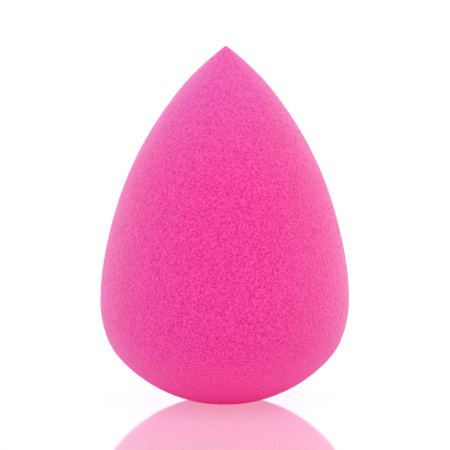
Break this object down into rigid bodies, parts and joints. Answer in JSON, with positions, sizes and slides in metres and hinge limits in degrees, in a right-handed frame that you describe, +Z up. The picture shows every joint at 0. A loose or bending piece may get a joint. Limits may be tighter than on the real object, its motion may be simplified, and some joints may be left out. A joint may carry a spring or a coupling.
{
  "type": "makeup sponge",
  "caption": "Drop-shaped soft foam sponge for blending liquid and cream makeup, with a round base, a full belly and a pointed tip.",
  "frame": {"origin": "centre of the small flat under the round base, where the sponge stands", "axes": "+Z up the sponge's own axis to the pointed tip; X and Y are alike, because the sponge is round about Z"},
  "size_m": [0.0417, 0.0416, 0.06],
  "materials": {
    "foam": "matte, fine open cells"
  },
  "bodies": {
    "root": {"sponge_body": "foam"}
  },
  "joints": []
}
